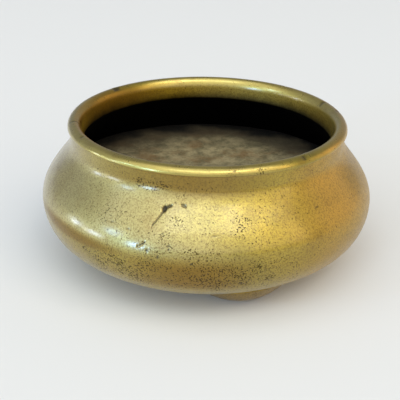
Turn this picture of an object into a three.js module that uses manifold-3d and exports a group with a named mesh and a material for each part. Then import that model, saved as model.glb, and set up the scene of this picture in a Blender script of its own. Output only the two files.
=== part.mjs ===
// Tripod incense burner: a squat cast bronze bowl with a rolled lip, three breast-shaped feet
// tenoned and peened through its floor, and a caked bed of incense ash inside.
// Millimetres, +Z up. The origin is on the ground, under the middle of the bowl.
// The front of the burner faces -Y.
import * as THREE from "three";
import { mergeVertices } from "three/addons/utils/BufferGeometryUtils.js";
import Module from "manifold-3d";

const wasm = await Module();
wasm.setup();

// Bowl, outside
const bellyRadius = 70; // widest point of the belly
const bellyHeight = 30.4; // height of that point above the ground
const shoulderFullness = 10.7; // how far the belly stays upright above it
const flankFullness = 23.5; // how far the belly stays upright below it
const baseRadius = 22.6; // flat disc under the bowl
const baseHeight = 5.4; // height of the disc above the ground
const baseFullness = 16.8; // how far the underside runs on level past the disc
const neckRadius = 57.2; // where the shoulder has turned up into the neck
const neckHeight = 55.4; // height of that point above the ground
const neckFullness = 7.2; // how gently the shoulder turns up into it
const wall = 2.8; // thickness of the casting
const throatRadius = 52; // lower edge of the neck's inner wall
const throatHeight = 53.2; // height of that edge: the hollow widens under it

// Lip
const lipRadius = 58.1; // outermost point of the lip
const lipWidth = 6; // from the outside of the lip to the mouth
const lipTop = 62.8; // height of the lip's top above the ground
const lipRise = 2.8; // from the lip's outermost point up to its top
const lipDrop = 0.6; // from that point down to its underside
const mouthDrop = 5; // from the lip's top down to where its inner side stands upright
const lipStart = -54; // degrees round the lip's section where the neck runs into its underside
const lipEnd = 180; // degrees round the lip's section where the mouth begins

// Feet
const footNames = ["foot_front", "foot_right", "foot_left"];
const footRingRadius = 39; // from the bowl's axis to a foot's axis
const frontFootAngle = -69; // degrees from +X towards +Y
const footRadius = 20.5; // where the foot has run out into the bowl
const soleRadius = 3; // worn flat that the foot stands on
const footFullness = 1.8; // 1 is a straight cone, and more is rounder
const seam = 0.3; // gap between a foot and the bowl
const tenonRadius = 4;
const tenonHeadRadius = 6.4; // peened over inside the bowl
const tenonHeadHeight = 2;

// Ash
const ashHeight = 35.5; // height of the ash at its rim above the ground
const ashDish = 1; // how much lower the middle lies
const ashGap = 0.3; // gap between the ash and what it lies on

// Facets
const aroundBowl = 72;
const aroundFoot = 32;
const curveSteps = 10;
const lipSteps = 13;
const headSteps = 4;
const footSteps = 8;

const degrees = Math.PI / 180;
const beyond = bellyRadius * 2; // a radius past everything else

function point(radius, height) {
  return new THREE.Vector2(radius, height);
}

function bezier(...points) {
  return new THREE.CubicBezierCurve(...points.map(([r, z]) => point(r, z)));
}

// The underside and flank, from the disc under the bowl to the widest point.
function flankCurve() {
  return bezier(
    [baseRadius, baseHeight],
    [baseRadius + baseFullness, baseHeight],
    [bellyRadius, bellyHeight - flankFullness],
    [bellyRadius, bellyHeight],
  );
}

// The shoulder, from the widest point to the neck.
function shoulderCurve() {
  return bezier(
    [bellyRadius, bellyHeight],
    [bellyRadius, bellyHeight + shoulderFullness],
    [neckRadius, neckHeight - neckFullness],
    [neckRadius, neckHeight],
  );
}

// Points along a curve, moved towards the hollow of the bowl by a depth.
function sunk(curve, depth) {
  const points = [];
  for (let i = 0; i <= curveSteps; i++) {
    const at = curve.getPoint(i / curveSteps);
    const along = curve.getTangent(i / curveSteps);
    points.push(point(at.x - along.y * depth, at.y + along.x * depth));
  }
  return points;
}

// The bowl's skin at a depth inside its outer surface, from its axis up to the neck.
function skin(depth) {
  const flank = sunk(flankCurve(), depth);
  const shoulder = sunk(shoulderCurve(), depth).slice(1);
  return [point(0, baseHeight + depth), ...flank, ...shoulder];
}

// The bowl's hollow, from its axis up to the throat, with a ledge under the neck's inner wall.
function hollow() {
  const under = skin(wall).filter((p) => p.y < throatHeight - wall);
  return [...under, point(throatRadius, throatHeight)];
}

// A point round the lip's section. Outside the lip turns tightly under, and inside it rolls
// far down into the mouth.
function lipPoint(angle) {
  const [out, up] = [Math.cos(angle), Math.sin(angle)];
  const radius = lipRadius - (lipWidth / 2) * (1 - out);
  if (out < 0) {
    return point(radius, lipTop - mouthDrop * (1 - up));
  }
  return point(radius, lipTop - lipRise + (up > 0 ? lipRise : lipDrop) * up);
}

function lipSection() {
  const points = [];
  for (let i = 0; i <= lipSteps; i++) {
    points.push(lipPoint((lipStart + ((lipEnd - lipStart) * i) / lipSteps) * degrees));
  }
  return points;
}

// A closed profile turned about +Z. It starts and ends on the axis.
function turned(profile, segments) {
  return new THREE.LatheGeometry(profile, segments).rotateX(Math.PI / 2);
}

function solidFrom(geometry) {
  const bare = geometry.clone();
  bare.deleteAttribute("normal");
  bare.deleteAttribute("uv");
  const merged = mergeVertices(bare, 1e-4);
  return new wasm.Manifold(
    new wasm.Mesh({
      numProp: 3,
      vertProperties: new Float32Array(merged.attributes.position.array),
      triVerts: new Uint32Array(merged.index.array),
    }),
  );
}

function geometryFrom(solid) {
  const mesh = solid.getMesh();
  const geometry = new THREE.BufferGeometry();
  geometry.setAttribute("position", new THREE.BufferAttribute(mesh.vertProperties, 3));
  geometry.setIndex(new THREE.BufferAttribute(mesh.triVerts, 1));
  geometry.computeVertexNormals();
  return geometry;
}

// A straight round pin along +Z.
function pin(radius, from, to, [x, y]) {
  const profile = [point(0, from), point(radius, from), point(radius, to), point(0, to)];
  return solidFrom(turned(profile, aroundFoot).translate(x, y, 0));
}

// A tenon's end, hammered to a low dome over the floor of the bowl.
function peenedHead(from, to, [x, y]) {
  const profile = [point(0, from), point(tenonHeadRadius, from)];
  for (let i = 1; i <= headSteps; i++) {
    const angle = (i / headSteps) * 90 * degrees;
    const height = to - tenonHeadHeight * (1 - Math.sin(angle));
    profile.push(point(tenonHeadRadius * Math.cos(angle), height));
  }
  return solidFrom(turned(profile, aroundFoot).translate(x, y, 0));
}

function footPlaces() {
  return footNames.map((_, i) => {
    const angle = (frontFootAngle + (i * 360) / footNames.length) * degrees;
    return [footRingRadius * Math.cos(angle), footRingRadius * Math.sin(angle)];
  });
}

// Height of a skin of the bowl at a distance from the bowl's axis, below the widest point.
function heightAt(profile, radius) {
  const next = profile.findIndex((p) => p.x >= radius);
  const [a, b] = [profile[next - 1], profile[next]];
  return a.y + ((b.y - a.y) * (radius - a.x)) / (b.x - a.x);
}

// Distance of a skin of the bowl from the bowl's axis, at a height.
function radiusAt(profile, height) {
  const next = profile.findIndex((p) => p.y >= height);
  const [a, b] = [profile[next - 1], profile[next]];
  return a.x + ((b.x - a.x) * (height - a.y)) / (b.y - a.y);
}

function makeBowl() {
  const profile = [...skin(0), ...lipSection(), ...hollow().reverse()];
  let bowl = solidFrom(turned(profile, aroundBowl));
  for (const place of footPlaces()) {
    bowl = bowl.subtract(pin(tenonRadius + seam, 0, bellyHeight, place));
  }
  return bowl;
}

// All that lies above the bowl's underside, or within a seam below it.
function aboveUnderside() {
  const lowered = skin(-seam).slice(0, curveSteps + 2);
  const around = [point(beyond, bellyHeight), point(beyond, lipTop), point(0, lipTop)];
  return solidFrom(turned([...lowered, ...around], aroundBowl));
}

// All that lies below the bowl's floor, or within a seam above it.
function belowFloor() {
  const raised = skin(wall + seam).slice(0, curveSteps + 2);
  const around = [point(0, 0), point(beyond, 0), point(beyond, raised.at(-1).y)];
  return solidFrom(turned([...around, ...raised.reverse()], aroundBowl));
}

// Height of the top of a peened head: its rim seats on the floor where the floor is highest.
function headTop() {
  return heightAt(skin(wall + seam), footRingRadius + tenonHeadRadius) + tenonHeadHeight;
}

// A foot runs out into the bowl before the belly's widest point.
function runOutRadius() {
  return Math.min(footRadius, bellyRadius - footRingRadius);
}

// How far a foot swells at a distance from its axis: 1 reaches the ground, 0 is the bare bowl.
function swell(distance) {
  const out = (distance - soleRadius) / (runOutRadius() - soleRadius);
  return 1 - THREE.MathUtils.clamp(out, 0, 1) ** footFullness;
}

// A round blank whose lower face is drawn down from the bowl's underside to the ground.
function breast([x, y]) {
  const face = [point(0, 0)];
  for (let i = 0; i <= footSteps; i++) {
    face.push(point(soleRadius + ((runOutRadius() - soleRadius) * i) / footSteps, 0));
  }
  const top = [point(runOutRadius(), bellyHeight), point(0, bellyHeight)];
  const blank = turned([...face, ...top], aroundFoot).translate(x, y, 0);
  const vertices = blank.attributes.position;
  const underside = skin(0);
  for (let i = 0; i < vertices.count; i++) {
    if (vertices.getZ(i) < bellyHeight / 2) {
      const [vx, vy] = [vertices.getX(i), vertices.getY(i)];
      const bare = heightAt(underside, Math.hypot(vx, vy));
      vertices.setZ(i, bare * (1 - swell(Math.hypot(vx - x, vy - y))));
    }
  }
  return solidFrom(blank);
}

function makeFoot(place) {
  const underside = heightAt(skin(0), footRingRadius);
  const head = peenedHead(underside, headTop(), place).subtract(belowFloor());
  const tenon = pin(tenonRadius, underside / 2, headTop() - tenonHeadHeight / 2, place);
  return breast(place).subtract(aboveUnderside()).add(tenon).add(head);
}

function makeAsh() {
  const bed = skin(wall + ashGap);
  const rim = point(radiusAt(bed, ashHeight), ashHeight);
  const under = bed.filter((p) => p.y < ashHeight);
  let ash = solidFrom(turned([...under, rim, point(0, ashHeight - ashDish)], aroundBowl));
  for (const place of footPlaces()) {
    ash = ash.subtract(pin(tenonHeadRadius + ashGap, 0, headTop() + ashGap, place));
  }
  return ash;
}

const bronze = new THREE.MeshStandardMaterial({
  color: 0xb8964a,
  roughness: 0.35,
  metalness: 1,
});
const wornBronze = new THREE.MeshStandardMaterial({
  color: 0x9c8350,
  roughness: 0.45,
  metalness: 1,
});
const cakedAsh = new THREE.MeshStandardMaterial({
  color: 0x6e6758,
  roughness: 0.95,
  metalness: 0,
});

function named(name, solid, material) {
  const mesh = new THREE.Mesh(geometryFrom(solid), material);
  mesh.name = name;
  return mesh;
}

const burner = new THREE.Group();
burner.add(named("bowl", makeBowl(), bronze));
footPlaces().forEach((place, i) => {
  burner.add(named(footNames[i], makeFoot(place), wornBronze));
});
burner.add(named("ash_bed", makeAsh(), cakedAsh));

export default burner;
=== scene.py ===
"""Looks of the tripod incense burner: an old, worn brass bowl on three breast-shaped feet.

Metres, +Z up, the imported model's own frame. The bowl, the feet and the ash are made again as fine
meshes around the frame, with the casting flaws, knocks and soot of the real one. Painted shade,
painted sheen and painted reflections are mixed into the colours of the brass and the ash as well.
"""

import math

import bpy
import numpy as np
from mathutils import Matrix, Vector, noise


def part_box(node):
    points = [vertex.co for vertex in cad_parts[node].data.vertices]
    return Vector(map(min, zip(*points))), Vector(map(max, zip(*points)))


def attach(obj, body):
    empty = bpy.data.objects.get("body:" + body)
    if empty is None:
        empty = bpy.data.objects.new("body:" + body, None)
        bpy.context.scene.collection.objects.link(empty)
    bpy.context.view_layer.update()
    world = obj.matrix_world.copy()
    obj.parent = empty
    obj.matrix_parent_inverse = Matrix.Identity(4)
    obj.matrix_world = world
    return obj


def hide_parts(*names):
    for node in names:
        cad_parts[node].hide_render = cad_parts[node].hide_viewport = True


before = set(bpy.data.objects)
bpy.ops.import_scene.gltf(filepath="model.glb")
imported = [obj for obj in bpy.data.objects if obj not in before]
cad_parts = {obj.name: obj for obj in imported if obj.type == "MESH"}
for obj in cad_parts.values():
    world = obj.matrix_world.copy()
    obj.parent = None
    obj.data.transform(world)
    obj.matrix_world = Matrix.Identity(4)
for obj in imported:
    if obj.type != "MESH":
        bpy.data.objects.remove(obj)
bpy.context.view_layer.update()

MM = 0.001

# Sizes from the frame
BOWL_LOW, BOWL_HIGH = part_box("bowl")
BELLY_RADIUS = (BOWL_HIGH.x - BOWL_LOW.x) / 2
BASE_HEIGHT = BOWL_LOW.z
LIP_TOP = BOWL_HIGH.z
_, ASH_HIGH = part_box("ash_bed")
ASH_HEIGHT = ASH_HIGH.z

# The bowl's profile, as in the CAD part
BELLY_HEIGHT = 30.4 * MM
SHOULDER_FULLNESS = 10.7 * MM
FLANK_FULLNESS = 23.5 * MM
BASE_RADIUS = 22.6 * MM
BASE_FULLNESS = 16.8 * MM
NECK_RADIUS = 57.2 * MM
NECK_HEIGHT = 55.4 * MM
NECK_FULLNESS = 7.2 * MM
WALL = 2.8 * MM
THROAT_RADIUS = 52 * MM
THROAT_HEIGHT = 53.2 * MM
THROAT_ROUND = 0.7 * MM
LIP_RADIUS = 58.1 * MM
LIP_WIDTH = 6 * MM
LIP_RISE = 2.8 * MM
LIP_DROP = 0.6 * MM
MOUTH_DROP = 5 * MM
LIP_START = -54  # degrees round the lip's section
LIP_END = 180
CURVE_STEPS = 400
SHOULDER_STEPS = 600

# The feet, as in the CAD part
FOOT_NAMES = ["foot_front", "foot_right", "foot_left"]
FOOT_RING_RADIUS = 39 * MM
FRONT_FOOT_ANGLE = -69
FOOT_RADIUS = 20.5 * MM
SOLE_RADIUS = 3 * MM
FOOT_FULLNESS = 1.8
SEAM = 0.3 * MM
TENON_RADIUS = 4 * MM
TENON_HEAD_RADIUS = 6.4 * MM
TENON_HEAD_HEIGHT = 2 * MM

# The camera. It stands in front of the bowl and looks down at the middle of the belly.
FRAME_PIXELS = 400
BELLY_PIXEL = (206.2, 185.6)  # where the belly's middle is in the frame, from its upper left corner
CAMERA_DISTANCE = 348.4 * MM
CAMERA_ELEVATION = 0.424  # radians
CAMERA_ROLL = 0.0193  # radians
LENS = 72
SENSOR = 36


def ramp(value, start, end):
    """0 up to the start and 1 from the end on. The end may be the lower of the two."""
    return np.clip((value - start) / (end - start), 0, 1)


def hump(value, middle, half):
    """1 at the middle of a range and 0 at its ends."""
    return np.clip(1 - ((value - middle) / half) ** 2, 0, 1)


def bezier(points, steps):
    """Points along a cubic curve, and its directions there."""
    a, b, c, d = (np.array(p) for p in points)
    t = np.linspace(0, 1, steps + 1)[:, None]
    places = (1 - t) ** 3 * a + 3 * (1 - t) ** 2 * t * b + 3 * (1 - t) * t**2 * c + t**3 * d
    along = 3 * (1 - t) ** 2 * (b - a) + 6 * (1 - t) * t * (c - b) + 3 * t**2 * (d - c)
    return places, along / np.linalg.norm(along, axis=1)[:, None]


def flank(steps):
    """The underside and flank, from the disc under the bowl to the widest point."""
    return bezier(
        [
            (BASE_RADIUS, BASE_HEIGHT),
            (BASE_RADIUS + BASE_FULLNESS, BASE_HEIGHT),
            (BELLY_RADIUS, BELLY_HEIGHT - FLANK_FULLNESS),
            (BELLY_RADIUS, BELLY_HEIGHT),
        ],
        steps,
    )


def shoulder(steps):
    """The shoulder, from the widest point to the neck."""
    return bezier(
        [
            (BELLY_RADIUS, BELLY_HEIGHT),
            (BELLY_RADIUS, BELLY_HEIGHT + SHOULDER_FULLNESS),
            (NECK_RADIUS, NECK_HEIGHT - NECK_FULLNESS),
            (NECK_RADIUS, NECK_HEIGHT),
        ],
        steps,
    )


def sunk(curve, depth):
    """A curve's points, moved towards the hollow of the bowl by a depth."""
    places, along = curve
    return places + depth * np.stack([-along[:, 1], along[:, 0]], 1)


def lip_section(steps):
    """The lip turns tightly under outside, and rolls far down into the mouth inside."""
    angle = np.radians(np.linspace(LIP_START, LIP_END, steps + 1))
    out, up = np.cos(angle), np.sin(angle)
    outside = LIP_TOP - LIP_RISE + np.where(up > 0, LIP_RISE, LIP_DROP) * up
    inside = LIP_TOP - MOUTH_DROP * (1 - up)
    return np.stack([LIP_RADIUS - LIP_WIDTH / 2 * (1 - out), np.where(out < 0, inside, outside)], 1)


def respaced(points, spacing):
    """The same outline with its points spaced evenly."""
    run = np.r_[0, np.cumsum(np.linalg.norm(np.diff(points, axis=0), axis=1))]
    count = max(2, int(round(run[-1] / spacing)) + 1)
    at = np.linspace(0, run[-1], count)
    return np.stack([np.interp(at, run, points[:, 0]), np.interp(at, run, points[:, 1])], 1)


def underside_height(radius):
    """Height of the bowl's outer skin over a distance from its axis, below the widest point."""
    places, _ = flank(CURVE_STEPS)
    return np.interp(radius, places[:, 0], places[:, 1])


def floor_height(radius, above=0.0):
    """Height of the bowl's floor, or of a skin above it, over a distance from its axis."""
    places = sunk(flank(CURVE_STEPS), WALL + above)
    return np.interp(radius, places[:, 0], places[:, 1])


def grid_faces(rows, columns):
    """Quads of a grid that closes on itself round the axis."""
    r, c = np.meshgrid(np.arange(rows - 1), np.arange(columns), indexing="ij")
    right = (c + 1) % columns
    low, high = r * columns, (r + 1) * columns
    return np.stack([low + c, low + right, high + right, high + c], -1).reshape(-1, 4)


def closed_grid(name, grid):
    """A mesh object from rows of points round an axis, with a fan at the first and the last row."""
    rows, columns, _ = grid.shape
    first, last = grid[0].mean(axis=0), grid[-1].mean(axis=0)
    places = np.vstack([grid.reshape(-1, 3), first, last])
    faces = grid_faces(rows, columns).tolist()
    start, end = rows * columns, rows * columns + 1
    for c in range(columns):
        following = (c + 1) % columns
        faces.append((start, following, c))
        faces.append((end, (rows - 1) * columns + c, (rows - 1) * columns + following))
    mesh = bpy.data.meshes.new(name)
    mesh.from_pydata(places.tolist(), [], faces)
    mesh.validate()
    mesh.polygons.foreach_set("use_smooth", [True] * len(mesh.polygons))
    mesh.update()
    made = bpy.data.objects.new(name, mesh)
    bpy.context.scene.collection.objects.link(made)
    return made


def add_attribute(obj, name, values):
    """One number for each vertex. The two end points take the first and the last value."""
    values = values.ravel()
    attribute = obj.data.attributes.new(name, "FLOAT", "POINT")
    attribute.data.foreach_set("value", np.r_[values, values[0], values[-1]].astype(np.float32))


# Bowl

FLAW_COLUMNS = (-116, -92)  # degrees round the bowl
FLAW_ROWS = (40 * MM, 52 * MM)
COLUMN_MARGIN = 0.3  # degrees between the close columns and the others
COARSE_COLUMNS = 420

# Spacing of the mesh's rows
FINE = 0.3 * MM  # where the large flaws are, and of the columns there
FLANK_ROWS = 0.8 * MM
LOW_SHOULDER_ROWS = 0.6 * MM
HIGH_SHOULDER_ROWS = 0.5 * MM
NECK_ROWS = 0.4 * MM
LIP_ROWS = 0.22 * MM
LEDGE_ROWS = 0.5 * MM
PLAIN_ROWS = 1.2 * MM
NEAR_AXIS = 0.5 * MM  # radius of the rows that the end fans close
THROAT_TURN = 70  # degrees of the throat's rounded edge


def column_angles():
    """Angles round the bowl, close together where the large flaws are."""
    coarse = np.linspace(-180, 180, COARSE_COLUMNS, endpoint=False)
    low, high = FLAW_COLUMNS
    fine = np.linspace(low, high, int(np.radians(high - low) * BELLY_RADIUS / FINE))
    outside = coarse[(coarse < low - COLUMN_MARGIN) | (coarse > high + COLUMN_MARGIN)]
    return np.radians(np.sort(np.r_[outside, fine]))


def bowl_outline():
    """The bowl's outline, from the underside's middle round the lip to the floor's middle."""
    lower = respaced(flank(CURVE_STEPS)[0], FLANK_ROWS)
    upper = shoulder(SHOULDER_STEPS)[0]
    low, high = FLAW_ROWS
    below = respaced(upper[upper[:, 1] <= low], LOW_SHOULDER_ROWS)
    among = respaced(upper[(upper[:, 1] >= low) & (upper[:, 1] <= high)], FINE)
    above = respaced(upper[upper[:, 1] >= high], HIGH_SHOULDER_ROWS)
    lip = respaced(lip_section(CURVE_STEPS), LIP_ROWS)
    neck = respaced(np.array([above[-1], lip[0]]), NECK_ROWS)
    throat_top = (THROAT_RADIUS, THROAT_HEIGHT + THROAT_ROUND)
    throat_wall = respaced(np.array([lip[-1], throat_top]), NECK_ROWS)
    turn = np.radians(np.linspace(0, THROAT_TURN, 8))
    edge_radius = THROAT_RADIUS + THROAT_ROUND * (1 - np.cos(turn))
    edge_height = THROAT_HEIGHT + THROAT_ROUND * (1 - np.sin(turn))
    edge = np.stack([edge_radius, edge_height], 1)
    within = sunk(shoulder(SHOULDER_STEPS), WALL)[::-1]
    within = within[within[:, 1] < THROAT_HEIGHT - WALL]
    ledge = respaced(np.array([edge[-1], within[0]]), LEDGE_ROWS)
    cavity = np.vstack([within, sunk(flank(CURVE_STEPS), WALL)[::-1]])
    cavity = respaced(cavity, PLAIN_ROWS)
    disc = np.array([(NEAR_AXIS, BASE_HEIGHT), (BASE_RADIUS, BASE_HEIGHT)])
    disc = respaced(disc, PLAIN_ROWS)
    floor_level = BASE_HEIGHT + WALL
    floor = np.array([(BASE_RADIUS * 0.6, floor_level), (NEAR_AXIS, floor_level)])
    outside = [disc, lower[1:], below[1:], among[1:], above[1:], neck[1:], lip[1:]]
    inside = [throat_wall[1:], edge[1:], ledge[1:], cavity[1:], floor]
    outline = np.vstack(outside + inside)
    inner_start = sum(len(part) for part in outside)
    return outline, inner_start


def outline_normals(outline):
    """Directions square to the outline, away from the metal."""
    along = np.gradient(outline, axis=0)
    along /= np.linalg.norm(along, axis=1)[:, None]
    return np.stack([along[:, 1], -along[:, 0]], 1)


def blob(across, up, centre, size, turn=0.0):
    """A dimple: 1 at its middle and 0 at its edge. Places and sizes are in mm on the surface."""
    x, y = across - centre[0], up - centre[1]
    c, s = math.cos(math.radians(turn)), math.sin(math.radians(turn))
    reach = np.hypot((c * x + s * y) / size[0], (-s * x + c * y) / size[1])
    return np.clip(1 - reach**2, 0, 1)


def groove(across, up, start, end, width):
    """A straight groove: 1 along its middle and 0 at its sides, thinner towards its end."""
    run = np.array(end) - np.array(start)
    t = ((across - start[0]) * run[0] + (up - start[1]) * run[1]) / (run @ run)
    held = np.clip(t, 0, 1)
    off = np.hypot(across - start[0] - held * run[0], up - start[1] - held * run[1])
    return np.clip(1 - (off / (width * (1 - 0.35 * held))) ** 2, 0, 1)


ARC_RADIUS = 62  # mm: places along the surface are measured round the axis at this radius

# Torn hollows: azimuth, height, half length and half width in mm, turn, depth in mm, darkness
HOLLOWS = [
    (-104.1, 47.6, 1.25, 0.95, 50, 0.8, 0.9),
    (-102.6, 48.5, 1.3, 0.5, 20, 0.45, 0.8),
    (-97.6, 49.0, 1.45, 0.5, -16, 0.35, 0.65),
]

# Thin grooves: azimuth and height of both ends, half width in mm, depth in mm, darkness
GROOVES = [
    (-104.5, 46.6, -107.3, 42.2, 0.33, 0.4, 0.6),
    (-108.6, 36.7, -110.7, 35.1, 0.3, 0.35, 1.0),
]

# The metal round the largest hollow stands up a little, in the same terms
SWELLING = (-103.8, 47.8, 2.4, 1.7, 45)
SWELLING_HEIGHT = 0.12

# Single dark spots: azimuth in degrees, height and radius in mm, darkness
SPOTS = [
    (-100.6, 49.6, 0.4, 0.45),
    (-114.8, 40.0, 0.55, 0.5),
    (-101.0, 36.9, 0.6, 0.75),
    (-100.9, 35.5, 0.5, 0.8),
    (-95.1, 36.0, 0.35, 0.6),
    (-93.9, 31.0, 0.5, 0.9),
    (-104.1, 32.5, 0.6, 0.7),
    (-87.0, 40.6, 0.65, 0.55),
    (-103.3, 40.3, 0.45, 0.6),
    (-99.9, 45.4, 0.5, 0.35),
    (-78.8, 22.1, 0.5, 0.9),
    (-49.3, 44.3, 0.7, 0.55),
    (-107.5, 34.3, 0.7, 0.6),
    (-120.7, 40.8, 0.4, 0.6),
]
SPOT_DEPTH = 0.15


def along_surface(degrees):
    """Distance in mm round the bowl from +X to an azimuth."""
    return math.radians(degrees) * ARC_RADIUS


def raggedness(angle, across, up):
    """Uneven numbers round zero that tear the edges of the large flaws. It is 0 elsewhere."""
    degrees = np.degrees(angle)
    ragged = np.zeros_like(angle)
    near = (degrees > -118) & (degrees < -90) & (up > 38) & (up < 54)
    for i in np.argwhere(near):
        i = tuple(i)
        place = Vector((across[i], up[i], 0))
        ragged[i] = noise.noise(place * 1.3) * 0.55 + noise.noise(place * 3.1) * 0.3
    return ragged


def casting_flaws(angle, height):
    """Depth in mm of the flaws in the outside of the bowl, and how dark each place is."""
    across, up = angle * ARC_RADIUS, height / MM
    ragged = raggedness(angle, across, up)
    parts = []
    for middle, level, length, width, turn, deep, darkness in HOLLOWS:
        shape = blob(across, up, (along_surface(middle), level), (length, width), turn)
        parts.append((shape, deep, darkness))
    for middle, level, end, end_level, width, deep, darkness in GROOVES:
        ends = (along_surface(middle), level), (along_surface(end), end_level)
        parts.append((groove(across, up, *ends, width), deep, darkness))
    depth = np.zeros_like(angle)
    dark = np.zeros_like(angle)
    for shape, deep, darkness in parts:
        torn = np.clip(shape + ragged * (shape > 0) * 0.5, 0, 1)
        depth = np.maximum(depth, deep * np.sqrt(torn))
        dark = np.maximum(dark, darkness * np.clip(torn * 2.2, 0, 1))
    middle, level, length, width, turn = SWELLING
    swollen = blob(across, up, (along_surface(middle), level), (length, width), turn)
    depth = np.where(depth > 0, depth, -SWELLING_HEIGHT * swollen)
    for middle, level, size, darkness in SPOTS:
        spot = blob(across, up, (along_surface(middle), level), (size, size * 0.8))
        depth = np.maximum(depth, SPOT_DEPTH * spot)
        dark = np.maximum(dark, darkness * np.clip(spot * 1.8, 0, 1))
    return depth, dark


# Dents and scratches in the lip: middle and half width in degrees, from and to in mm outward from
# the lip's inner edge, depth in mm, darkness
KNOCKS = [
    (140.5, 2.6, 1.2, 4.2, 0.55, 0.8),
    (-168.6, 0.5, 0.0, 5.5, 0.18, 0.75),
    (21.4, 1.2, 0.6, 3.4, 0.25, 0.6),
    (9.0, 0.7, 3.0, 4.6, 0.3, 0.6),
    (-50.6, 1.0, 3.6, 5.5, 0.35, 0.8),
    (-150.0, 0.7, 3.0, 4.8, 0.25, 0.6),
    (-112.5, 0.6, 2.0, 3.2, 0.2, 0.6),
]


def turned_from(angle, middle):
    """Degrees from an azimuth round to each angle, from -180 to 180."""
    return (np.degrees(angle) - middle + 180) % 360 - 180


def lip_knocks(angle, radius, height):
    """Depth in mm of the knocks in the lip, and how dark each place is."""
    on_lip = ramp(height, LIP_TOP - 2.4 * MM, LIP_TOP - 1.2 * MM)
    outward = (radius - (LIP_RADIUS - LIP_WIDTH)) / MM
    depth = np.zeros_like(angle)
    dark = np.zeros_like(angle)
    for middle, half, start, end, deep, darkness in KNOCKS:
        side = hump(turned_from(angle, middle), 0, half)
        along = hump(outward, (start + end) / 2, (end - start) / 2)
        shape = side * np.sqrt(along) * on_lip
        depth = np.maximum(depth, deep * shape)
        dark = np.maximum(dark, darkness * np.clip(shape * 1.6, 0, 1))
    return depth, dark


UNEVENNESS = 0.015  # mm


def unevenness(places):
    """How far the surface, scraped and polished by hand, lies under its true round form, in mm."""
    values = np.empty(len(places))
    for i, place in enumerate(places):
        p = Vector(place)
        values[i] = noise.noise(p * 45) * 0.6 + noise.noise(p * 110 + Vector((7, 3, 1))) * 0.3
    return UNEVENNESS * (1 + values)


# Where the bowl is pitted: azimuth in degrees, height, reach along and up the surface in mm, share
PITTED = [
    (-110, 54.5, 14, 3, 1.25),
    (-78, 43.5, 5.5, 5, 0.75),
    (-122, 42, 10, 6, 0.72),
    (-105, 38, 9, 5.5, 0.7),
    (-99.5, 44.5, 3, 2.5, 0.7),
    (-95, 34, 24, 4, 0.7),
    (-70, 61, 3.5, 2, 0.9),
    (-80, 61, 2, 1.5, 0.9),
    (-45, 55, 14, 2.5, 0.5),
    (-30, 40, 8, 4, 0.35),
]
PITTED_EVERYWHERE = 0.3
PITTED_WAIST = 0.9


def pitting(angle, height):
    """The share of the surface's grains that have fallen out, at each place."""
    degrees, up = np.degrees(angle), height / MM
    share = PITTED_EVERYWHERE * np.maximum(0.4, ramp(degrees, -35, -65))
    share = share * np.where(up > 58.5, 0.4, 1)
    waist = ramp(up, 15, 20) * ramp(up, 35, 29)
    waist = waist * np.maximum(0.2, ramp(degrees, -45, -70))
    waist = waist * np.maximum(0.25, ramp(degrees, -150, -122))
    share = np.maximum(share, PITTED_WAIST * waist)
    for middle, level, along, rise, most in PITTED:
        off = np.radians(turned_from(angle, middle)) * ARC_RADIUS
        reach = np.hypot(off / along, (up - level) / rise)
        share = np.maximum(share, most * np.clip(1.25 * (1 - reach**2), 0, 1))
    return share


def patina_and_shade(angle, radius, height, outer):
    """How brown the brass is: patina low on the left, inside the neck and a little round the waist;
    painted shade under the lip and a painted dark reflection round the waist, both strongest on the
    camera's side.
    """
    degrees, up = np.degrees(angle), height / MM
    # Painted shade under the lip, strongest on the camera's side
    under_lip_shade = outer * ramp(up, 50.5, 54) * ramp(up, 60.3, 59.5)
    under_lip_shade = under_lip_shade * (0.05 + 0.8 * hump(degrees, -101, 38))
    # Browner round the waist: a little patina all round, and a painted dark reflection on the
    # camera's side
    waist = ramp(up, 15, 21) * ramp(up, 34, 29)
    waist = outer * waist * (0.22 + 0.7 * hump(degrees, -94, 21))
    band = np.hypot((degrees + 140) / 27, (up - 31) / 3)
    band = outer * 0.9 * np.clip(1.2 - band**2, 0, 1)
    cloud = np.hypot(turned_from(angle, 146) / 34, (up - 57.5) / 6)
    cloud = np.clip(1.1 - cloud**2, 0, 1) * (radius < LIP_RADIUS - 2.5 * MM)
    return np.maximum(np.maximum(under_lip_shade, waist), np.maximum(band, cloud))


# The side whose lights are painted onto the brass as a pale sheen
PAINTED_SHEEN_SIDE = -145  # azimuth


def painted_sheen_and_coat(angle, height, normals):
    """How strongly a pale sheen is painted on the brass, and how much coat it has. The sheen is a
    painted reflection of the lights on the left: most on the left, none on the right, where the
    brass is painted warmer instead; on the lip's near and far sides it is a painted highlight.
    """
    side = 0.75 * normals[:, :1] * np.cos(angle - math.radians(PAINTED_SHEEN_SIDE))
    near_or_far = ramp(np.abs(np.sin(angle)), 0.375, 1)
    lip = 0.35 * ramp(height, 58 * MM, 60 * MM) * near_or_far
    return np.clip(0.5 + side + lip, 0, 1)


SOOT_AND_SHADE_AT_THROAT = 0.62
SOOT_AND_SHADE_FADE = 9 * MM


def soot_and_shade(outline, inner_start):
    """How black each row of the outline is painted, soot and painted shade together: from a little
    above the throat's edge inwards.
    """
    run = np.r_[0, np.cumsum(np.linalg.norm(np.diff(outline, axis=0), axis=1))]
    throat = inner_start + np.argmin(np.abs(outline[inner_start:, 1] - THROAT_HEIGHT))
    return np.clip(SOOT_AND_SHADE_AT_THROAT + (run - run[throat])[:, None] / SOOT_AND_SHADE_FADE, 0, 1)


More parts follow.
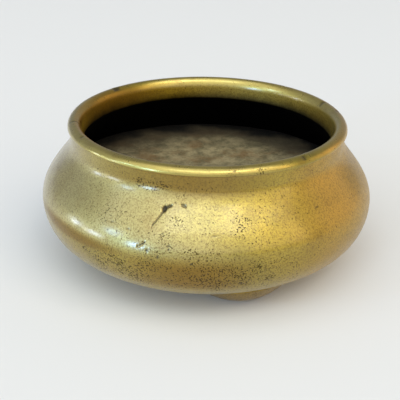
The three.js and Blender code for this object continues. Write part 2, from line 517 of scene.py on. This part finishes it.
def make_bowl():
    """The bowl's casting, with the numbers on its skin that the brass is coloured by."""
    outline, inner_start = bowl_outline()
    normals = outline_normals(outline)
    angles = column_angles()
    angle = np.broadcast_to(angles, (len(outline), len(angles)))
    radius = np.broadcast_to(outline[:, :1], angle.shape)
    height = np.broadcast_to(outline[:, 1:], angle.shape)
    places = np.stack([radius * np.cos(angle), radius * np.sin(angle), height], -1)
    level, rise = normals[:, :1], np.broadcast_to(normals[:, 1:], angle.shape)
    outward = np.stack([level * np.cos(angle), level * np.sin(angle), rise], -1)
    outer = (np.arange(len(outline)) < inner_start)[:, None]
    flaw_depth, flaw_dark = casting_flaws(angle, height)
    knock_depth, knock_dark = lip_knocks(angle, radius, height)
    depth = outer * flaw_depth + knock_depth
    depth = depth + unevenness(places.reshape(-1, 3)).reshape(angle.shape)
    places = places - outward * depth[..., None] * MM
    bowl = closed_grid("bowl_casting", places)
    add_attribute(bowl, "flaw", np.maximum(outer * flaw_dark, knock_dark))
    add_attribute(bowl, "pitted", outer * pitting(angle, height))
    add_attribute(bowl, "patina_and_shade", patina_and_shade(angle, radius, height, outer))
    add_attribute(bowl, "painted_sheen_and_coat", painted_sheen_and_coat(angle, height, normals))
    inside = (radius < LIP_RADIUS - LIP_WIDTH / 2) * (height > THROAT_HEIGHT - 8 * MM)
    inside = inside * ramp(height, LIP_TOP - 2 * MM, LIP_TOP - 4 * MM)
    add_attribute(bowl, "inside", inside)
    add_attribute(bowl, "sooted_and_shaded", np.broadcast_to(soot_and_shade(outline, inner_start), angle.shape))
    return bowl


# Feet

FOOT_COLUMNS = 160
OUTSIDE_ROWS = 56
SEAT_ROWS = 12
HEAD_ROWS = 9
SEAT_LIFT = 0.05 * MM  # the foot's upper face reaches this far into the bowl's skin
# The feet's strong patina is painted shade, for they stand under the bowl's belly; their dense pits
# darken them further
FOOT_LOOKS_AND_SHADE = {"patina_and_shade": 0.7, "pitted": 0.6, "painted_sheen_and_coat": 0.6}


def foot_places():
    count = len(FOOT_NAMES)
    angles = [math.radians(FRONT_FOOT_ANGLE + i * 360 / count) for i in range(count)]
    return [(FOOT_RING_RADIUS * math.cos(a), FOOT_RING_RADIUS * math.sin(a)) for a in angles]


def swell(distance):
    """How far a foot swells at a distance from its axis: 1 is the ground, 0 the bare bowl."""
    out = np.clip((distance - SOLE_RADIUS) / (FOOT_RADIUS - SOLE_RADIUS), 0, 1)
    return 1 - out**FOOT_FULLNESS


def make_foot(name, centre):
    """A foot as one skin: breast-shaped outside, seat against the bowl, tenon and peened head."""
    around = np.linspace(0, 2 * np.pi, FOOT_COLUMNS, endpoint=False)
    head_rim = floor_height(FOOT_RING_RADIUS + TENON_HEAD_RADIUS, SEAM)

    def ring(distance, rise):
        x = centre[0] + distance * np.cos(around)
        y = centre[1] + distance * np.sin(around)
        return np.stack([x, y, rise(x, y)], 1)

    def under(x, y):
        return underside_height(np.hypot(x, y))

    rings = []
    for distance in np.linspace(0.1 * MM, FOOT_RADIUS, OUTSIDE_ROWS):
        sink = swell(distance)
        rings.append(ring(distance, lambda x, y: under(x, y) * (1 - sink)))
    for distance in np.linspace(FOOT_RADIUS - 0.4 * MM, TENON_RADIUS, SEAT_ROWS):
        rings.append(ring(distance, lambda x, y: under(x, y) + SEAT_LIFT))
    for share in (0.5, 1.0):
        rings.append(ring(TENON_RADIUS, lambda x, y: under(x, y) + share * (WALL + SEAM)))
    for distance in (TENON_RADIUS + 0.2 * MM, TENON_HEAD_RADIUS):
        rings.append(ring(distance, lambda x, y: floor_height(np.hypot(x, y), SEAM)))
    for turn in np.radians(np.linspace(0, 88, HEAD_ROWS)):
        top = head_rim + TENON_HEAD_HEIGHT * math.sin(turn)
        rings.append(ring(TENON_HEAD_RADIUS * math.cos(turn), lambda x, y: top + 0 * x))
    foot = closed_grid(name, np.array(rings))
    for look, amount in FOOT_LOOKS_AND_SHADE.items():
        add_attribute(foot, look, np.full((len(rings), FOOT_COLUMNS), amount))
    return foot


# Ash

ASH_COLUMNS = 300
ASH_ROWS = 110
ASH_WALL_STEPS = 300
ASH_SIDE_ROWS = 2 * MM  # spacing
ASH_GAP = 0.3 * MM
ASH_DISH = 1.0 * MM
ASH_SETTLED = 0.7 * MM  # how far the lumps' middle lies under the solid's rim
ASH_LUMPS = 0.75 * MM
ASH_EDGE_DROP = 1.2 * MM  # the top ends where the wall is this far under the solid's rim
ASH_SIDE_DROP = 2.6 * MM  # and the side begins this far under it


def ash_surface(x, y):
    """Height of the caked ash's top, which is dished and lumpy."""
    reach = np.hypot(x, y) / ASH_HIGH.x
    heights = np.empty_like(x)
    for i in np.ndindex(x.shape):
        p = Vector((x[i], y[i], 0.0))
        wide = noise.noise(p * 38) * 0.55
        lumps = noise.noise(p * 95 + Vector((3, 1, 5))) * 0.4
        grains = noise.noise(p * 330 + Vector((9, 2, 4))) * 0.14
        heights[i] = wide + lumps + grains
    drop = ASH_DISH * (1 - reach**2) + ASH_SETTLED
    return ASH_HEIGHT - drop + heights * ASH_LUMPS


def make_ash():
    """The bed of ash: its top, and a side and underside that follow the inside of the bowl."""
    around = np.linspace(0, 2 * np.pi, ASH_COLUMNS, endpoint=False)
    depth = WALL + ASH_GAP
    upper = sunk(shoulder(ASH_WALL_STEPS), depth)[1:]
    wall = np.vstack([sunk(flank(ASH_WALL_STEPS), depth), upper])
    rim_radius = np.interp(ASH_HEIGHT - ASH_EDGE_DROP, wall[:, 1], wall[:, 0])
    side = wall[wall[:, 1] < ASH_HEIGHT - ASH_SIDE_DROP][::-1]
    side = respaced(side, ASH_SIDE_ROWS)
    side = np.vstack([side, (NEAR_AXIS, side[-1, 1])])

    rings = []
    for distance in np.linspace(0.4 * MM, rim_radius, ASH_ROWS):
        x, y = distance * np.cos(around), distance * np.sin(around)
        rings.append(np.stack([x, y, ash_surface(x, y)], 1))
    for distance, height in side:
        x, y = distance * np.cos(around), distance * np.sin(around)
        rings.append(np.stack([x, y, np.full_like(x, height)], 1))
    return closed_grid("ash_crust", np.array(rings)[::-1])


# Materials


class Shader:
    """Short names for the nodes that the materials here are built from."""

    def __init__(self, name):
        self.material = bpy.data.materials.new(name)
        self.material.use_nodes = True
        self.nodes = self.material.node_tree.nodes
        self.links = self.material.node_tree.links
        self.surface = self.nodes["Principled BSDF"]
        self.place = self.nodes.new("ShaderNodeTexCoord").outputs["Object"]

    def put(self, value, socket):
        """Links another node's output to a socket, or writes a plain value on it."""
        if isinstance(value, bpy.types.NodeSocket):
            self.links.new(value, socket)
        else:
            socket.default_value = value

    def set(self, **inputs):
        for name, value in inputs.items():
            self.put(value, self.surface.inputs[name.replace("_", " ")])

    def math(self, operation, a, b=0.0, clamp=False):
        node = self.nodes.new("ShaderNodeMath")
        node.operation = operation
        node.use_clamp = clamp
        self.put(a, node.inputs[0])
        self.put(b, node.inputs[1])
        return node.outputs[0]

    def noise(self, scale, detail, roughness):
        node = self.nodes.new("ShaderNodeTexNoise")
        self.links.new(self.place, node.inputs["Vector"])
        node.inputs["Scale"].default_value = scale
        node.inputs["Detail"].default_value = detail
        node.inputs["Roughness"].default_value = roughness
        return node.outputs["Fac"]

    def range(self, value, low, high, to_low=0.0, to_high=1.0, smooth=True):
        node = self.nodes.new("ShaderNodeMapRange")
        node.interpolation_type = "SMOOTHSTEP" if smooth else "LINEAR"
        self.put(value, node.inputs["Value"])
        ends = {"From Min": low, "From Max": high, "To Min": to_low, "To Max": to_high}
        for name, number in ends.items():
            self.put(number, node.inputs[name])
        return node.outputs["Result"]

    def mix(self, amount, a, b):
        node = self.nodes.new("ShaderNodeMix")
        node.data_type = "RGBA"
        self.put(amount, node.inputs[0])
        # The node's two colours and its colour output come after its sockets of other types
        self.put(a, node.inputs[6])
        self.put(b, node.inputs[7])
        return node.outputs[2]

    def attribute(self, name):
        node = self.nodes.new("ShaderNodeAttribute")
        node.attribute_name = name
        return node.outputs["Fac"]

    def axis(self, index):
        node = self.nodes.new("ShaderNodeSeparateXYZ")
        self.links.new(self.place, node.inputs["Vector"])
        return node.outputs[index]

    def pits(self, per_metre, density, radius, softness):
        """Scattered pits: 1 in a pit, 0 around it. The density is the share of cells with one."""
        warp = self.nodes.new("ShaderNodeTexNoise")
        self.links.new(self.place, warp.inputs["Vector"])
        warp.inputs["Scale"].default_value = per_metre * 2.2
        shift = self.nodes.new("ShaderNodeVectorMath")
        shift.operation = "MULTIPLY_ADD"
        self.links.new(warp.outputs["Color"], shift.inputs[0])
        shift.inputs[1].default_value = (0.35 / per_metre,) * 3
        self.links.new(self.place, shift.inputs[2])
        cells = self.nodes.new("ShaderNodeTexVoronoi")
        self.links.new(shift.outputs["Vector"], cells.inputs["Vector"])
        cells.inputs["Scale"].default_value = per_metre
        chance = self.nodes.new("ShaderNodeSeparateColor")
        self.links.new(cells.outputs["Color"], chance.inputs["Color"])
        share = self.math("SUBTRACT", density, chance.outputs[0])
        size = self.math("MULTIPLY", self.math("MULTIPLY", share, 2.5, clamp=True), radius)
        inward = self.math("SUBTRACT", size, cells.outputs["Distance"])
        return self.math("DIVIDE", inward, softness, clamp=True)

    def bump(self, height, distance, strength):
        node = self.nodes.new("ShaderNodeBump")
        node.inputs["Strength"].default_value = strength
        node.inputs["Distance"].default_value = distance
        self.links.new(height, node.inputs["Height"])
        return node.outputs["Normal"]


# Linear colours
BRASS_BRIGHT = (0.45, 0.33, 0.035, 1)
# Painted warm reflection of the warm lights on the right
PAINTED_WARM_REFLECTION = (0.5, 0.31, 0.035, 1)
BRASS_OLIVE = (0.36, 0.28, 0.03, 1)
# Brown of patina and stains, also used for painted shade and a painted dark reflection
BROWN_PATINA_AND_SHADE = (0.26, 0.145, 0.012, 1)
# Painted sheen: a pale colour that stands in for the reflection of the lights on the left
PAINTED_SHEEN_PALE = (0.46, 0.395, 0.165, 1)
BRASS_INSIDE = (0.42, 0.27, 0.015, 1)
GRAIN_BROWN = (0.16, 0.095, 0.012, 1)
PIT_BROWN = (0.03, 0.016, 0.003, 1)
FLAW_BLACK = (0.036, 0.032, 0.027, 1)
# Black of soot, standing in also for the shade inside the bowl
SOOT_AND_SHADE_BLACK = (0.0008, 0.0008, 0.0008, 1)

# Heights between which the lip is rubbed bright, and the painted pale sheen comes and thins out
# again
RUBBED = (58.5 * MM, 60.5 * MM)
PAINTED_SHEEN_RISES = (29 * MM, 36 * MM)
PAINTED_SHEEN_THINS = (53 * MM, 56 * MM)


def brass(name):
    """Old polished brass. Its flaws, pits, patina and soot come from the mesh's attributes, and so
    do the painted shade, painted sheen and painted reflections in its colour.
    """
    s = Shader(name)
    flaw, inside, painted_sheen_and_coat, patina_and_shade = (s.attribute(n) for n in ("flaw", "inside", "painted_sheen_and_coat", "patina_and_shade"))
    rubbed = s.range(s.axis("Z"), *RUBBED)

    # The metal's own colour: olive clouds and warmer inside, with a painted warm reflection on the
    # right and a painted pale sheen on the left
    colour = s.mix(s.range(s.noise(38, 4, 0.6), 0.4, 0.68), BRASS_BRIGHT, BRASS_OLIVE)
    # Painted warm reflection on the side facing away from the left lights
    colour = s.mix(s.range(painted_sheen_and_coat, 0.35, 0.65, 1, 0), colour, PAINTED_WARM_REFLECTION)
    colour = s.mix(s.math("MULTIPLY", inside, 0.8), colour, BRASS_INSIDE)
    # Painted pale sheen: the reflection of the lights on the left, painted into the colour
    painted_sheen = s.range(painted_sheen_and_coat, 0.7, 1.0, 0, 0.6)
    painted_sheen = s.math("MULTIPLY", painted_sheen, s.range(s.axis("Z"), *PAINTED_SHEEN_RISES))
    painted_sheen = s.math("MULTIPLY", painted_sheen, s.range(s.axis("Z"), *PAINTED_SHEEN_THINS, 1.0, 0.4))
    colour = s.mix(painted_sheen, colour, PAINTED_SHEEN_PALE)
    # Brown stains and patina, with the painted shade under the lip and the painted dark reflection
    # round the waist
    stain = s.math("MULTIPLY", s.range(s.noise(75, 5, 0.65), 0.5, 0.72), 0.4)
    colour = s.mix(s.math("MAXIMUM", stain, patina_and_shade), colour, BROWN_PATINA_AND_SHADE)
    grain = s.noise(1500, 3, 0.7)
    unrubbed = s.math("SUBTRACT", 1.0, s.math("MULTIPLY", rubbed, 0.7))
    grainy = s.math("MULTIPLY", s.range(grain, 0.42, 0.66, 0, 0.6), unrubbed)
    colour = s.mix(grainy, colour, GRAIN_BROWN)

    # Pits of three sizes, in clusters
    clusters = s.range(s.noise(140, 4, 0.65), 0.38, 0.64, 0.55, 1.15)
    density = s.math("MULTIPLY", s.attribute("pitted"), clusters)
    limit = s.range(density, 0, 1, 0.7, 0.53, smooth=False)
    small = s.range(s.math("SUBTRACT", s.noise(1600, 2, 0.5), limit), -0.01, 0.03)
    medium = s.pits(900, s.math("MULTIPLY", density, 0.5), 0.34, 0.1)
    large = s.pits(520, s.math("MULTIPLY", density, 0.22), 0.26, 0.08)
    pits = s.math("MAXIMUM", s.math("MULTIPLY", small, 0.8), s.math("MAXIMUM", medium, large))
    colour = s.mix(s.math("MULTIPLY", pits, 0.9), colour, PIT_BROWN)
    colour = s.mix(flaw, colour, FLAW_BLACK)
    # Soot and painted shade, black inside the bowl below the throat
    ragged = s.math("MULTIPLY", s.math("SUBTRACT", s.noise(120, 4, 0.6), 0.5), 0.3)
    soot_and_shade = s.range(s.math("ADD", s.attribute("sooted_and_shaded"), ragged), 0.05, 0.7)
    colour = s.mix(soot_and_shade, colour, SOOT_AND_SHADE_BLACK)

    # Smoother where hands rub the lip, rougher inside, dull in pits, flaws, soot and the painted
    # shade inside
    rough = s.range(s.noise(210, 4, 0.7), 0.3, 0.7, 0.38, 0.48)
    rough = s.math("SUBTRACT", rough, s.math("MULTIPLY", rubbed, 0.12))
    rough = s.math("ADD", rough, s.math("MULTIPLY", inside, 0.14))
    dull = s.math("MAXIMUM", s.math("MAXIMUM", pits, flaw), soot_and_shade)
    rough = s.math("MAXIMUM", rough, s.math("MULTIPLY", dull, 0.8))
    fine = s.math("MULTIPLY", grain, s.range(rubbed, 0, 1, 0.12, 0.02, smooth=False))
    relief = s.math("SUBTRACT", fine, pits)
    normal = s.bump(relief, 0.12 * MM, 0.6)
    s.set(Base_Color=colour, Roughness=rough, Metallic=0.96, Normal=normal)

    # The polished skin over the metal
    uncoated = s.math("MAXIMUM", dull, s.math("MULTIPLY", patina_and_shade, 0.6))
    coat = s.math("SUBTRACT", 1.0, uncoated)
    coat = s.math("MULTIPLY", coat, s.range(painted_sheen_and_coat, 0, 1, 0.3, 1.0, smooth=False))
    coat = s.math("MULTIPLY", coat, s.range(rubbed, 0, 1, 1.0, 0.75, smooth=False))
    s.set(Coat_Weight=coat, Coat_Roughness=0.21, Coat_IOR=1.65)
    return s.material


ASH_PALE = (0.29, 0.24, 0.13, 1)
ASH_OLIVE = (0.12, 0.105, 0.055, 1)
ASH_BROWN = (0.17, 0.1, 0.04, 1)
# Dark of the grit, also used for the painted shade near the wall
ASH_GRIT_AND_SHADE = (0.034, 0.026, 0.015, 1)

# Distances from the axis between which the ash darkens, and turns black: painted shade together
# with soot
ASH_SHADE_AND_SOOT_DARKENS = (32 * MM, 60 * MM)
ASH_SHADE_AND_SOOT_BLACKENS = (56 * MM, 64 * MM)


def ash():
    """Caked ash: mottled and gritty; darker towards the wall and black against it, painted shade
    together with soot.
    """
    s = Shader("ash")
    colour = s.mix(s.range(s.noise(170, 5, 0.7), 0.36, 0.66), ASH_PALE, ASH_OLIVE)
    colour = s.mix(s.range(s.noise(80, 5, 0.65), 0.46, 0.7, 0, 0.75), colour, ASH_BROWN)
    x, y = s.axis("X"), s.axis("Y")
    reach = s.math("SQRT", s.math("ADD", s.math("MULTIPLY", x, x), s.math("MULTIPLY", y, y)))
    ragged = s.math("MULTIPLY", s.math("SUBTRACT", s.noise(60, 3, 0.5), 0.5), 24 * MM)
    reach = s.math("ADD", reach, ragged)
    # Painted shade, with soot, darkening the ash towards the wall
    colour = s.mix(s.range(reach, *ASH_SHADE_AND_SOOT_DARKENS, 0, 0.92), colour, ASH_GRIT_AND_SHADE)
    colour = s.mix(s.range(reach, *ASH_SHADE_AND_SOOT_BLACKENS, 0, 0.95), colour, SOOT_AND_SHADE_BLACK)
    grit = s.noise(900, 4, 0.7)
    colour = s.mix(s.range(grit, 0.5, 0.72, 0, 0.35), colour, ASH_GRIT_AND_SHADE)
    s.set(Base_Color=colour, Roughness=0.95, Normal=s.bump(grit, 0.5 * MM, 0.6))
    s.surface.inputs["Specular IOR Level"].default_value = 0.2
    return s.material


def plain(name, colour, roughness):
    s = Shader(name)
    s.set(Base_Color=colour, Roughness=roughness)
    s.surface.inputs["Specular IOR Level"].default_value = 0.1
    return s.material


# Stage, light and camera

FLOOR_SIZE = 12  # metres
CLOTH_WHITE = (0.74, 0.74, 0.73, 1)
ROOM = (0.36, 0.375, 0.4, 1)


def make_floor():
    mesh = bpy.data.meshes.new("floor")
    half = FLOOR_SIZE / 2
    corners = [(-half, -half, 0), (half, -half, 0), (half, half, 0), (-half, half, 0)]
    mesh.from_pydata(corners, [], [(0, 1, 2, 3)])
    floor = bpy.data.objects.new("floor", mesh)
    bpy.context.scene.collection.objects.link(floor)
    floor.data.materials.append(plain("floor_cloth", CLOTH_WHITE, 0.9))


def make_world():
    world = bpy.data.worlds.new("room")
    bpy.context.scene.world = world
    world.use_nodes = True
    world.node_tree.nodes["Background"].inputs["Color"].default_value = ROOM


LAMP_DISTANCE = 8  # metres
DAY = (0.96, 0.98, 1.0)
SKY = (0.72, 0.86, 1.0)
PANE = (0.34, 0.6, 1.0)
PALE_PANE = (0.6, 0.73, 1.0)
ORANGE = (1.0, 0.66, 0.28)

# Name, azimuth (0 is +X and -90 is the camera's side), elevation, width and height, all in degrees
# as seen from the bowl, then radiance and colour. The panes are the bright spots low on the left.
LAMPS = [
    ("window_left", -108, 27, 36, 37, 1.0, DAY),
    ("window_middle", -72, 27, 36, 37, 1.05, (1.0, 0.96, 0.86)),
    ("window_right", -37, 27, 34, 37, 1.12, (1.0, 0.87, 0.64)),
    ("window_top", -92, 54, 42, 20, 3.15, (0.86, 0.96, 1.0)),
    ("window_corner", -46, 52, 34, 18, 3.0, (1.0, 0.9, 0.72)),
    ("ceiling", -90, 80, 60, 28, 1.05, DAY),
    ("left_wall", -148, 38, 40, 44, 0.93, (0.94, 0.97, 1.0)),
    ("left_room", -187, 24, 44, 44, 0.26, SKY),
    ("right_wall", 15, 14, 38, 30, 0.78, (1.0, 0.7, 0.38)),
    ("right_lamp", -25, 22, 9, 36, 1.0, ORANGE),
    ("left_pane_1", 177, 2.5, 6, 5, 24, PALE_PANE),
    ("left_pane_2", -166, 2, 10, 3.5, 26, PALE_PANE),
    ("left_pane_3", -154, 18, 7, 7, 17, PANE),
    ("left_pane_4", -135, 8, 7, 7, 42, PANE),
    ("left_pane_5", -130, 5, 5, 4, 14, PANE),
]


def soft_box(name, azimuth, elevation, wide, high, radiance, colour):
    """A rectangular lamp that faces the bowl. The camera itself doesn't see it."""
    data = bpy.data.lights.new(name, "AREA")
    data.shape = "RECTANGLE"
    data.size = 2 * LAMP_DISTANCE * math.tan(math.radians(wide / 2))
    data.size_y = 2 * LAMP_DISTANCE * math.tan(math.radians(high / 2))
    data.energy = radiance * math.pi * data.size * data.size_y
    data.color = colour
    lamp = bpy.data.objects.new(name, data)
    a, e = math.radians(azimuth), math.radians(elevation)
    away = Vector((math.cos(a) * math.cos(e), math.sin(a) * math.cos(e), math.sin(e)))
    lamp.location = Vector((0, 0, BELLY_HEIGHT)) + away * LAMP_DISTANCE
    lamp.rotation_mode = "QUATERNION"
    lamp.rotation_quaternion = (-away).to_track_quat("-Z", "Y")
    lamp.visible_camera = False
    bpy.context.scene.collection.objects.link(lamp)


def make_lights():
    for lamp in LAMPS:
        soft_box(*lamp)


def make_camera():
    """The camera that was solved from the outlines in the photograph."""
    e, r = CAMERA_ELEVATION, CAMERA_ROLL
    right = Vector((1, 0, 0))
    up = Vector((0, math.sin(e), math.cos(e)))
    forward = Vector((0, math.cos(e), -math.sin(e)))
    rolled_right = right * math.cos(r) + up * math.sin(r)
    rolled_up = up * math.cos(r) - right * math.sin(r)
    focal_pixels = LENS / SENSOR * FRAME_PIXELS
    middle = FRAME_PIXELS / 2
    x, y = BELLY_PIXEL[0] - middle, middle - BELLY_PIXEL[1]
    aim = Vector((x / focal_pixels, y / focal_pixels, 1))
    turn = Vector((0, 0, 1)).rotation_difference(aim.normalized()).to_matrix()
    axes = turn @ Matrix((rolled_right, rolled_up, forward))
    data = bpy.data.cameras.new("camera")
    data.lens = LENS
    data.sensor_width = SENSOR
    camera = bpy.data.objects.new("camera", data)
    camera.location = Vector((0, 0, BELLY_HEIGHT)) - forward * CAMERA_DISTANCE
    camera.rotation_mode = "QUATERNION"
    camera.rotation_quaternion = Matrix((axes[0], axes[1], -axes[2])).transposed().to_quaternion()
    bpy.context.scene.collection.objects.link(camera)
    bpy.context.scene.camera = camera


def finish_piece(piece, material, node):
    """Gives a piece its material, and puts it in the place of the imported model's node."""
    piece.data.materials.append(material)
    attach(piece, "root")
    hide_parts(node)


make_camera()
make_floor()
make_world()
make_lights()
finish_piece(make_bowl(), brass("old_brass"), "bowl")
foot_brass = brass("foot_brass")
for foot_name, foot_place in zip(FOOT_NAMES, foot_places()):
    foot_casting = make_foot(foot_name + "_casting", foot_place)
    finish_piece(foot_casting, foot_brass, foot_name)
finish_piece(make_ash(), ash(), "ash_bed")

bpy.context.scene.view_settings.view_transform = "Standard"
